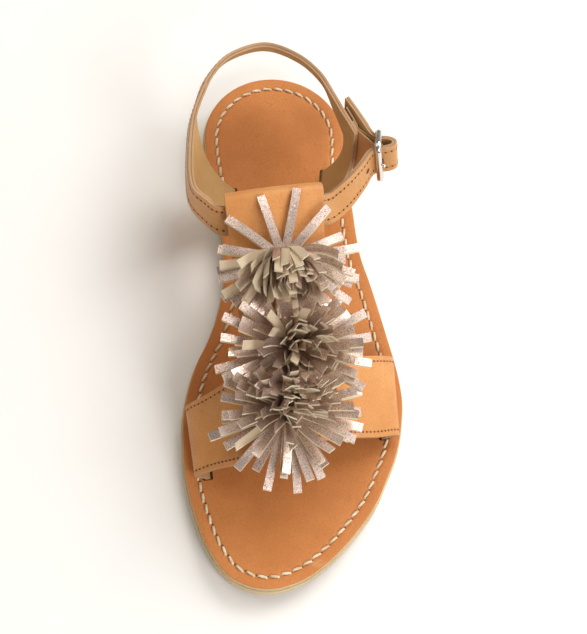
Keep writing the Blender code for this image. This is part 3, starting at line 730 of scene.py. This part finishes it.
ANKLE = (
    (71.2, 19.2, 45.6, -1.05, -0.28), (66.4, 24.0, 45.9, -0.82, -0.22), (59.8, 28.9, 45.8, -0.58, -0.17),
    (55.0, 31.8, 45.4, -0.45, -0.15), (53.1, 35.1, 45.2, -0.43, -0.15), (53.0, 37.7, 45.4, -0.43, -0.15),
    (52.0, 40.4, 45.5, -0.43, -0.14), (49.8, 40.8, 44.7, -0.43, -0.13), (48.1, 38.5, 43.4, -0.43, -0.13),
    (47.6, 35.7, 42.8, -0.43, -0.12), (46.0, 33.0, 43.2, -0.42, -0.10), (42.0, 30.2, 44.4, -0.36, -0.06),
    (36.8, 27.0, 45.2, -0.25, -0.05), (31.4, 24.3, 45.0, -0.12, -0.08),
)
STRAP_WIDE = 10.8
STRAP_THICK = 1.9
SLEEVE_TOP = 72.4
SLEEVE_LOW = 82.0
SLEEVE_LEAN = 2.9
STRAP_STEPS = 8
STRAP_CELLS = (330, 8)
STRAP_PITCH = 1.95
# Rows between which the strap is hidden in the sleeve, and rows with a punched hole, drawn as a flat
# dark disc of painted shade on each face.
SLEEVE_ROWS = (15.3, 18.6)
PUNCHED = (22.3, 24.4, 31.4, 32.2)


def strap_edges(row):
    """Lower and top edge of the strap at one row of the table."""
    middle = np.array(row[:3])
    reach = np.array((row[3], row[4], 1.0))
    reach *= STRAP_WIDE / 2 / np.linalg.norm(reach)
    return (*(middle - reach), *(middle + reach))


def sleeve_edges(dw):
    lift = TEE_LIFT - FOLD_RADIUS
    return (*instep(SLEEVE_LOW, dw, lift - SLEEVE_LEAN), *instep(SLEEVE_TOP, dw, lift))


strap_rows = [strap_edges(row) for row in SLING]
strap_rows += [sleeve_edges(dw) for dw in (-19.0, -9.5, 0.0, 9.5, 19.0)]
strap_rows += [strap_edges(row) for row in ANKLE]
strap_cut = Cut(smooth(strap_rows, STRAP_STEPS))


def strap_share(row):
    """Share of the strap's length at a row number of its tables."""
    return float(np.interp(row * STRAP_STEPS, range(len(strap_cut.marks)), strap_cut.marks)) / strap_cut.long


tan_leather = leather("tan_leather", (0.66, 0.345, 0.138), (0.57, 0.275, 0.098), 0.46, 860.0, 0.12, 0.10)
# Creases where the strap bends round the heel, at the sleeve and at the buckle: row and width share at both
# ends, with one width and depth for all.
STRAP_CREASES = (
    (8.45, 0.45, 8.60, 1.00), (9.20, 0.40, 9.12, 0.92), (12.90, 0.08, 13.05, 0.70),
    (13.60, 0.30, 13.52, 0.95), (21.40, 0.20, 21.52, 0.82), (23.20, 0.10, 23.28, 0.75),
    (29.60, 0.18, 29.52, 0.85), (30.40, 0.25, 30.50, 0.90),
)
CREASE_WIDE = 1.1
CREASE_DEEP = 0.16
strap_creases = [(strap_share(a), v0, strap_share(b), v1, CREASE_WIDE, CREASE_DEEP)
                 for a, v0, b, v1 in STRAP_CREASES]
tan_faces = tan_leather, cut_edge, cut_edge
leather_strip("ankle_strap", strap_cut, STRAP_CELLS, 1.0, 0.45, tan_faces, 0.25, ("back_upper",),
              creases=strap_creases)
leather_strip("ankle_strap_lining", strap_cut, STRAP_CELLS, 0.82, -0.52, lining, 0.2)

bm = bmesh.new()
sleeve_in, sleeve_out = (strap_share(row) * strap_cut.long for row in SLEEVE_ROWS)
for row in edge_rows(STRAP_WIDE, HEM):
    sew(bm, strap_cut, row, 2.0, sleeve_in, STRAP_PITCH, STRAP_THICK / 2)
    sew(bm, strap_cut, row, sleeve_out, strap_cut.long - 3.0, STRAP_PITCH, STRAP_THICK / 2)
# Painted shade: each punched hole is a flat dark disc on both faces of the strap.
for row in PUNCHED:
    u = strap_share(row)
    normal, along = strap_cut.lie(u, 0.5)
    side = np.cross(normal, along)
    for face_out in (1.0, -1.0):
        hole_shade_disc = bmesh.ops.create_circle(bm, cap_ends=True, segments=16, radius=1.0)["verts"]
        for v in hole_shade_disc:
            v.co = world(strap_cut.place(u, 0.5) + along * v.co.x * 1.15 + side * v.co.y * 0.85 * face_out
                         + normal * (STRAP_THICK / 2 + 0.05) * face_out)
        for face in faces_of(hole_shade_disc):
            face.material_index = 1
sewn("ankle_strap_stitches", bm)

# Legs: two tapered pieces of the same two layers, sewn in under the sling and let into insole slots.  Each
# bows outwards like the side of a heel before it stands up in its slot.
LEG_HEM = 1.8
LEG_BEND = 11.0


def leg_rows(leg):
    """Rows from inside the strap down to the slot."""
    s0, w0, s1, w1, first, last, out = leg
    columns = []
    for f in np.linspace(0.0, 1.0, 9):
        foot = np.array((s0 + (s1 - s0) * f, w0 + (w1 - w0) * f, 0.0))
        level = sole_top(foot[0]) + INSOLE_LOW + INSOLE_THICK
        foot[2] = level
        u = strap_share(first + (last - first) * (f if leg is INNER_LEG else 1 - f))
        edge = strap_cut.place(u, 0.0)
        sweep = 0.85 - (0.35 if leg is INNER_LEG else 0.05) * f
        bend = np.array((foot[0] * sweep + edge[0] * (1 - sweep), out, level + LEG_BEND))
        points = [strap_cut.place(u, 0.36), strap_cut.place(u, 0.13)]
        for t in np.linspace(0.0, 1.0, 15):
            points.append(edge * (1 - t) ** 2 + 2 * bend * t * (1 - t) + foot * t * t)
        points.append(foot - np.array((0.0, 0.0, INSOLE_THICK - 0.1)))
        columns.append(points)
    if leg is OUTER_LEG:
        columns.reverse()
    return [list(row) for row in zip(*columns)]


for name, leg in (("inner_leg", INNER_LEG), ("outer_leg", OUTER_LEG)):
    leg_cut = Cut(leg_rows(leg))
    leather_strip(name, leg_cut, (40, 8), 1.0, 0.42, tan_faces, 0.25)
    leather_strip(name + "_lining", leg_cut, (40, 8), 0.8, -0.5, lining, 0.2)
    bm = bmesh.new()
    for row in edge_rows(leg_cut.wide, LEG_HEM):
        sew(bm, leg_cut, row, 9.0, leg_cut.long - 3.5, STRAP_PITCH, 0.92)
    sewn(name + "_stitches", bm)

# Buckle: a polished wire frame with a bar across its middle, and a prong of thinner wire wrapped round
# the bar.  The ankle strap goes under the front of the frame, over the bar and under the back of the frame.
BUCKLE_RIM = np.array((55.6, 35.0, 45.2))
BUCKLE_UP = np.array((-0.39, -0.14, 0.91))
BUCKLE_FACE = np.array((0.12, 1.0, 0.0))
BUCKLE_LONG = 10.6
BUCKLE_TALL = 16.6
BUCKLE_CORNER = 2.6
BUCKLE_WIRE = 0.95
WIRE_FLAT = (0.86, 0.45)
BAR_RADIUS = 0.6
EYE_RADIUS = 1.3
EYE_WIRE = 0.45
PRONG_RADIUS = 0.6
buckle_up = unit(BUCKLE_UP)
buckle_along = unit(np.cross(BUCKLE_FACE, buckle_up))
buckle_out = np.cross(buckle_up, buckle_along)
bar = BUCKLE_RIM - buckle_along * BUCKLE_LONG / 2


def bent_wire(name, path, radii, closed):
    """Round wire along points in shoe coordinates, made into a mesh."""
    curve = bpy.data.curves.new(name, "CURVE")
    curve.dimensions = "3D"
    curve.bevel_depth = MM
    curve.bevel_resolution = 5
    curve.use_fill_caps = not closed
    line = curve.splines.new("POLY")
    line.points.add(len(path) - 1)
    for point, p, radius in zip(line.points, path, radii):
        point.co = (*world(p), 1.0)
        point.radius = radius
    line.use_cyclic_u = closed
    drawn = bpy.data.objects.new(name, curve)
    bpy.context.scene.collection.objects.link(drawn)
    bm = bmesh.new()
    bm.from_mesh(finished_mesh(drawn))
    bpy.data.objects.remove(drawn, do_unlink=True)
    bmesh.ops.remove_doubles(bm, verts=bm.verts, dist=0.00001)
    bmesh.ops.recalc_face_normals(bm, faces=bm.faces)
    return bm


frame_path = []
for x, y, first in ((-1, -1, 180), (1, -1, 270), (1, 1, 0), (-1, 1, 90)):
    for a in np.radians(np.linspace(first, first + 90, 9)):
        along = x * (BUCKLE_LONG / 2 - BUCKLE_CORNER) + BUCKLE_CORNER * math.cos(a)
        rise = y * (BUCKLE_TALL / 2 - BUCKLE_CORNER) + BUCKLE_CORNER * math.sin(a)
        frame_path.append(bar + along * buckle_along + rise * buckle_up)
bm = bent_wire("buckle_wire", frame_path, [BUCKLE_WIRE * WIRE_FLAT[0]] * len(frame_path), True)
facing = Vector((buckle_out[1], -buckle_out[0], buckle_out[2]))
for v in bm.verts:
    v.co += facing * (v.co - world(bar)).dot(facing) * WIRE_FLAT[1]
buckle = new_piece("buckle_wire", bm)
bar_path = [bar + buckle_up * BUCKLE_TALL * t for t in np.linspace(-0.5, 0.5, 3)]
buckle_bar = new_piece("buckle_bar", bent_wire("buckle_bar", bar_path, [BAR_RADIUS] * 3, False))

nickel, tree, shader = new_material("polished_nickel")
place = object_place(tree)
smear = speckle(tree, place, 340.0, 4.0)
hair = add_node(tree, "ShaderNodeMapping", {"Vector": place, "Scale": (900.0, 9000.0, 900.0)})
feed(shader, {"Base Color": blend(tree, smear, (0.66, 0.65, 0.63), (0.80, 0.79, 0.77)),
              "Roughness": ramp(tree, smear, 0.35, 0.7, 0.12, 0.26), "Metallic": 1.0,
              "Normal": bumped(tree, speckle(tree, hair.outputs[0], 1.0), 0.05, 0.0001)})
dress(buckle, "buckle", ("buckle_frame",), nickel)
dress(buckle_bar, "buckle", (), nickel)

wrap = [bar + EYE_RADIUS * (math.cos(a) * buckle_along + math.sin(a) * buckle_out)
        for a in np.radians(np.linspace(-300, 14, 22))]
pin_start = bar + buckle_along * (EYE_RADIUS + 0.5) + buckle_out * 0.85
pin_end = BUCKLE_RIM + buckle_along * 1.2 + buckle_out * (BUCKLE_WIRE * 1.25 + PRONG_RADIUS + 0.2)
pin = [pin_start + (pin_end - pin_start) * t for t in np.linspace(0, 1, 12)]
radii = [EYE_WIRE] * len(wrap) + list(np.linspace(EYE_WIRE + 0.1, PRONG_RADIUS, 10)) + [0.52, 0.3]
prong = new_piece("buckle_pin", bent_wire("buckle_pin", wrap + pin, radii, False))
dress(prong, "buckle", ("buckle_prong",), nickel)

# Buckle tab: a strip of the same leather, skived thin, folded round the bar and sewn on the outer face of
# the sling with both ends.  It has a notch in the fold so that the prong can swing, and it spreads
# downwards where it lies on the sling.
TAB_THICK = 0.6
TAB_RADIUS = BAR_RADIUS + 0.2 + TAB_THICK / 2
TAB_HALF = 5.1
TAB_SPREAD = 8.8
TAB_NOTCH = (0.39, 0.61)
# Layers of the tab on the sling: lift off the strap's middle, and rows of the strap that it passes.
TAB_LAYERS = ((2.0, (2.1, 1.6, 1.1, 0.6, 0.25)), (1.3, (0.2, 0.6, 1.0)))


def tab_path(t):
    """Line of the tab from the sling's outer face round the bar and back, at a height along the bar."""
    down = TAB_SPREAD * max(-t / TAB_HALF, 0.0)
    ends = []
    for lift, rows in TAB_LAYERS:
        ends.append([])
        for row in rows:
            u = strap_share(row)
            across = (strap_cut.place(u, 1.0) - strap_cut.place(u, 0.0)) / STRAP_WIDE
            spread = down * np.clip((1.75 - row) / 1.2, 0, 1)
            ends[-1].append(strap_cut.place(u, 0.5) + across * (t - spread) + strap_cut.lie(u, 0.5)[0] * lift)
    hub = bar + buckle_up * t
    round_bar = [hub + TAB_RADIUS * (math.cos(a) * buckle_along + math.sin(a) * buckle_out)
                 for a in np.radians(np.linspace(150, -60, 9))]
    return smooth(ends[0] + round_bar + ends[1], 4)


lines = [tab_path(t) for t in np.linspace(TAB_HALF, -TAB_HALF, 11)]
tab_cut = Cut([list(row) for row in zip(*lines)])
fold = [u for u in np.linspace(0, 1, 81) if np.linalg.norm(tab_cut.place(u, 0.5) - bar) < TAB_RADIUS + 0.6]
leather_strip("buckle_tab", tab_cut, (80, 10), TAB_THICK, 0.0, (tan_leather, pale_lining, cut_edge), 0.15,
              notch=(fold[0], fold[-1], *TAB_NOTCH))
bm = bmesh.new()
for u in (0.05, 0.42):
    across = Cut([(tab_cut.place(u, v), tab_cut.place(u + 0.04, v)) for v in np.linspace(1.0, 0.0, 6)])
    sew(bm, across, 0.5, 0.9, across.long - 0.9, 1.8, TAB_THICK / 2)
sewn("buckle_tab_stitches", bm)

# Pompoms: leather with a crackled rose foil on one face and beige suede on the other, cut to a fringe, rolled
# up and sewn down on the T-strap.  The outer turns lie flat and show their foil, the inner ones stand up and
# flop to the toe, and the pompoms crowd each other upright.
# Columns: station and sideways place on the instep, comb to the toe, lift of the strips on the heel side and
# on the toe side, seed, share of strips turned over.
POMPOMS = (
    ("pompom_ankle", 92.8, 1.2, 0.95, 66.0, 4.0, 11, 0.8),
    ("pompom_middle", 124.8, 1.6, 0.30, 56.0, 44.0, 23, 0.25),
    ("pompom_toe", 143.6, -2.0, 0.22, 56.0, 0.0, 37, 0.1),
)
# Turns of the roll: strips, start radius, start height, length, rise, droop, flop to the toe.
TURNS = (
    (13, 3.4, 2.4, 24.5, 8.0, 10.0, 0.00),
    (16, 3.4, 3.2, 23.0, 12.0, 4.0, 0.30),
    (16, 3.3, 4.0, 22.0, 17.0, -8.0, 0.60),
    (16, 3.2, 4.8, 21.0, 23.0, -18.0, 0.80),
    (16, 3.0, 5.6, 20.0, 30.0, -22.0, 0.90),
    (15, 2.7, 6.2, 19.0, 39.0, -22.0, 1.00),
    (13, 2.2, 6.8, 18.0, 49.0, -20.0, 1.00),
    (10, 1.4, 7.2, 17.0, 62.0, -16.0, 1.00),
    (5, 0.5, 7.4, 16.5, 78.0, -6.0, 1.00),
)
# Where the strips of the ankle pompom's lowest turn point, in degrees from the toe.
ANKLE_FAN = (-163, -131, -103, -84, -62, -36, -14, 14, 40, 67, 87, 107, 135, 165)
SIDE_DROOP = 26.0
STRIP_WIDE = 2.9
STRIP_THICK = 1.3
STRIP_CELLS = 7
ROLL_BASE, ROLL_TOP, ROLL_TALL = 0.0036, 0.0031, 0.0072
ROLL_MIDDLE = 3.6
TURN_STAGGER = 0.37
THINNED = 0.6
ROOM_BEHIND, ROOM_AHEAD = 0.5, 3.0
spots = {row[0]: instep(row[1], row[2]) for row in POMPOMS}


def crowded(name, line, rise):
    """Whether a strip leans too far into a neighbour's room; a steep one may lean over the one in front."""
    own = spots[name]
    for other, spot in spots.items():
        if other != name:
            gap = spot - own
            far = np.linalg.norm(gap)
            leave = ROOM_AHEAD + max(rise - 25.0, 0.0) * 0.22 if gap[0] > 0 else ROOM_BEHIND
            if max(float(np.dot(p - own, gap / far)) for p in line) - far / 2 > leave:
                return True
    return False


def strip_line(base, axis, ahead, turn, layer, comb, raised, wild):
    """Middle line of one strip and its directions, from the roll to its tip."""
    radius, height, length, rise, droop, flop = layer
    side = np.cross(axis, ahead)
    out = math.cos(turn) * ahead + math.sin(turn) * side
    p = base + out * radius + axis * height
    line = [p]
    ways = []
    hang = SIDE_DROOP * abs(math.sin(turn)) * max(1 - rise / 45, 0.0) * (1 - raised / 100)
    for k in range(STRIP_CELLS):
        t = k / (STRIP_CELLS - 1)
        lean = rise - droop * t + wild[0]
        lean = math.radians(lean + raised * (1 - lean / 90) - hang * t * t)
        way = math.cos(lean) * out + math.sin(lean) * (axis + ahead * comb * flop * (0.5 + t))
        way = unit(way + side * wild[1] * t)
        p = p + way * length * wild[2] / STRIP_CELLS
        line.append(p)
        ways.append(way)
    ways.append(ways[-1])
    return line, ways, np.cross(axis, out)


def lay_strip(bm, fringe, line, ways, wide, twist, shift, turned):
    """One fringe strip with cut edges, its foil face up, or its suede when it is turned over."""
    made = bmesh.ops.create_grid(bm, x_segments=2, y_segments=STRIP_CELLS, size=0.5)["verts"]
    flat = {v: (v.co.x, int(round((v.co.y + 0.5) * STRIP_CELLS))) for v in made}
    for v, (x, k) in flat.items():
        across = unit(wide - ways[k] * np.dot(ways[k], wide))
        a = twist * k / STRIP_CELLS
        up = np.cross(ways[k], across)
        across = across * math.cos(a) + up * math.sin(a)
        v.co = world(line[k] + across * x * STRIP_WIDE)
    top = faces_of(made)
    for face in top:
        face.material_index = int(turned)
        for loop in face.loops:
            x, k = flat[loop.vert]
            loop[fringe].uv = (shift + x * STRIP_WIDE * MM, shift * 1.7 + k * 0.0034)
    bmesh.ops.solidify(bm, geom=list(top), thickness=STRIP_THICK * MM)
    grown = faces_of(made) - top
    for face in grown:
        face.material_index = 2
    for face in {f for side in grown for edge in side.edges for f in edge.link_faces} - top - grown:
        face.material_index = int(not turned)


foil, tree, shader = new_material("crackled_rose_foil")
place = add_node(tree, "ShaderNodeUVMap", {}, uv_map="fringe").outputs[0]
crackle = ramp(tree, cracks(tree, place, 900.0, (0.0011, 0.0011, 0.0), 2200.0), 0.0, 0.14)
sheen = blend(tree, speckle(tree, place, 420.0, 3.0), (0.78, 0.58, 0.50), (0.97, 0.83, 0.75))
feed(shader, {"Base Color": blend(tree, crackle, (0.30, 0.20, 0.165), sheen),
              "Roughness": ramp(tree, crackle, 0.0, 1.0, 0.52, 0.28),
              "Metallic": ramp(tree, crackle, 0.0, 1.0, 0.45, 0.92),
              "Normal": bumped(tree, crackle, 0.3, 0.00005)})
suede = leather("beige_suede", (0.76, 0.62, 0.44), (0.65, 0.51, 0.35), 0.92, 3200.0, 0.5)
suede.node_tree.nodes["Principled BSDF"].inputs["Sheen Weight"].default_value = 0.12
fringe_edge = leather("fringe_cut_edge", (0.93, 0.86, 0.68), (0.84, 0.75, 0.56), 0.85, 3000.0, 0.4)

for name, sc, dw, comb, heel_lift, toe_lift, seed, loose in POMPOMS:
    axis, up = instep_frame(sc, dw)
    base = instep(sc, dw, tee_lift(sc) + TEE_THICK / 2)
    hand = random.Random(seed)
    bm = bmesh.new()
    fringe = bm.loops.layers.uv.new("fringe")
    roll = bmesh.ops.create_cone(bm, cap_ends=True, segments=22, radius1=ROLL_BASE, radius2=ROLL_TOP,
                                 depth=ROLL_TALL)["verts"]
    upright = Vector((axis[1], -axis[0], axis[2]))
    stand = Vector((0, 0, 1)).rotation_difference(upright).to_matrix().to_4x4()
    bmesh.ops.transform(bm, matrix=Matrix.Translation(world(base + axis * ROLL_MIDDLE)) @ stand, verts=roll)
    for face in bm.faces:
        face.material_index = 1
    for number, (count, radius, height, length, rise, droop, flop) in enumerate(TURNS):
        fan = ANKLE_FAN if name == "pompom_ankle" and not number else range(count)
        for k in fan:
            turn = 2 * math.pi * (k + TURN_STAGGER * number + hand.uniform(-0.3, 0.3)) / count
            wild = (hand.uniform(-1, 1) * (4 + 1.7 * number), hand.gauss(0, 0.06 + 0.035 * number),
                    hand.uniform(0.84, 1.05))
            layer = radius, height + hand.uniform(-0.2, 0.4), length, rise, droop, flop
            # The lowest fan shows alone behind the ankle pompom, and the toe pompom is thin in front.
            if fan is ANKLE_FAN:
                turn = math.radians(k)
                layer = layer[:2] + (length * (0.86 if abs(k) > 75 else 1.0),) + layer[3:]
            elif name == "pompom_ankle" and number < 3 and math.cos(turn) < -0.3:
                continue
            elif (name == "pompom_toe" and 1 < number < 7 and math.cos(turn) > 0.35
                  and hand.random() < THINNED):
                continue
            spread = 0.3 * max(number - 3, 0)
            foot = base - up * hand.gauss(0, spread) + np.cross(up, axis) * hand.gauss(0, spread)
            turned = number > 1 and math.sin(turn) < 0.3 and hand.random() < loose
            crowd = max(-heel_lift * (math.cos(turn) + 0.1), toe_lift * (math.cos(turn) - 0.1), 0.0)
            stood = crowd if number or name != "pompom_ankle" else 0.0
            for raised in range(int(stood), 91, 5):
                line, ways, wide = strip_line(foot, axis, -up, turn, layer, comb, raised, wild)
                if not crowded(name, line, rise + raised * (1 - rise / 90)):
                    break
            twist = hand.gauss(0.0, 0.10 + 0.08 * number)
            lay_strip(bm, fringe, line, ways, wide, twist, hand.uniform(0.0, 0.3), turned)
    dress(new_piece(name + "_fringe", bm), "pompom", (name,), foil, suede, fringe_edge)

# Studio: a plain pale floor, soft lights from the outer side, from behind and from the front, a weak warm one
# from the inner side, and a camera high over the toe at the angle the shoe was seen from.
LIGHT_AIM = Vector((0.0, -0.07, 0.03))
VIEW_FROM = Vector((-0.0434, -0.3229, 0.5983))
VIEW_PITCH = 67
# Focal length, height of the picture, and how far the view is turned aside to face the shoe, in pixels.
VIEW_LONG = 1755.0
VIEW_TALL = 634.0
VIEW_TURN = (134.0, 1.0)
FILM = 36.0
bm = bmesh.new()
bmesh.ops.create_grid(bm, x_segments=2, y_segments=2, size=4.0)
floor = new_piece("studio_floor", bm)
paper, tree, shader = new_material("studio_paper")
mottle = speckle(tree, object_place(tree), 30.0, 3.0)
feed(shader, {"Base Color": blend(tree, mottle, (0.90, 0.895, 0.885), (0.94, 0.935, 0.925)),
              "Roughness": 0.9})
floor.data.materials.append(paper)

sky = bpy.data.worlds.new("studio_room")
sky.use_nodes = True
feed(sky.node_tree.nodes["Background"], {"Color": (1.0, 0.94, 0.86, 1.0), "Strength": 0.21})
bpy.context.scene.world = sky


def soft_light(name, place, size, power, tint):
    lamp = bpy.data.lights.new(name, "AREA")
    lamp.shape = "DISK"
    lamp.size = size
    lamp.energy = power
    lamp.color = tint
    holder = bpy.data.objects.new(name, lamp)
    holder.location = place
    holder.rotation_euler = (LIGHT_AIM - Vector(place)).to_track_quat("-Z", "Y").to_euler()
    bpy.context.scene.collection.objects.link(holder)


soft_light("key_light", (0.74, -0.04, 0.66), 1.10, 3.3, (1.0, 0.985, 0.96))
soft_light("back_light", (0.42, 0.44, 0.80), 0.80, 7.0, (1.0, 0.98, 0.95))
soft_light("front_light", (0.36, -0.75, 0.59), 0.45, 4.6, (1.0, 0.985, 0.96))
soft_light("fill_light", (-0.55, 0.22, 0.86), 0.80, 2.2, (1.0, 0.90, 0.78))

pitch = math.radians(VIEW_PITCH)
ahead = Vector((0.0, math.cos(pitch), -math.sin(pitch)))
above = Vector((0.0, math.sin(pitch), math.cos(pitch)))
aim = ahead * VIEW_LONG + Vector((1.0, 0.0, 0.0)) * VIEW_TURN[0] + above * VIEW_TURN[1]
aim.normalize()
aside = aim.cross(above).normalized()
turn = Matrix((aside, aside.cross(aim), -aim)).transposed()
view = bpy.data.cameras.new("photo_view")
view.lens = FILM * VIEW_LONG / VIEW_TALL
view.sensor_width = FILM
view.clip_start = 0.01
camera = bpy.data.objects.new("photo_view", view)
camera.matrix_world = Matrix.Translation(VIEW_FROM) @ turn.to_4x4()
bpy.context.scene.collection.objects.link(camera)
bpy.context.scene.camera = camera
bpy.context.scene.view_settings.view_transform = "Standard"
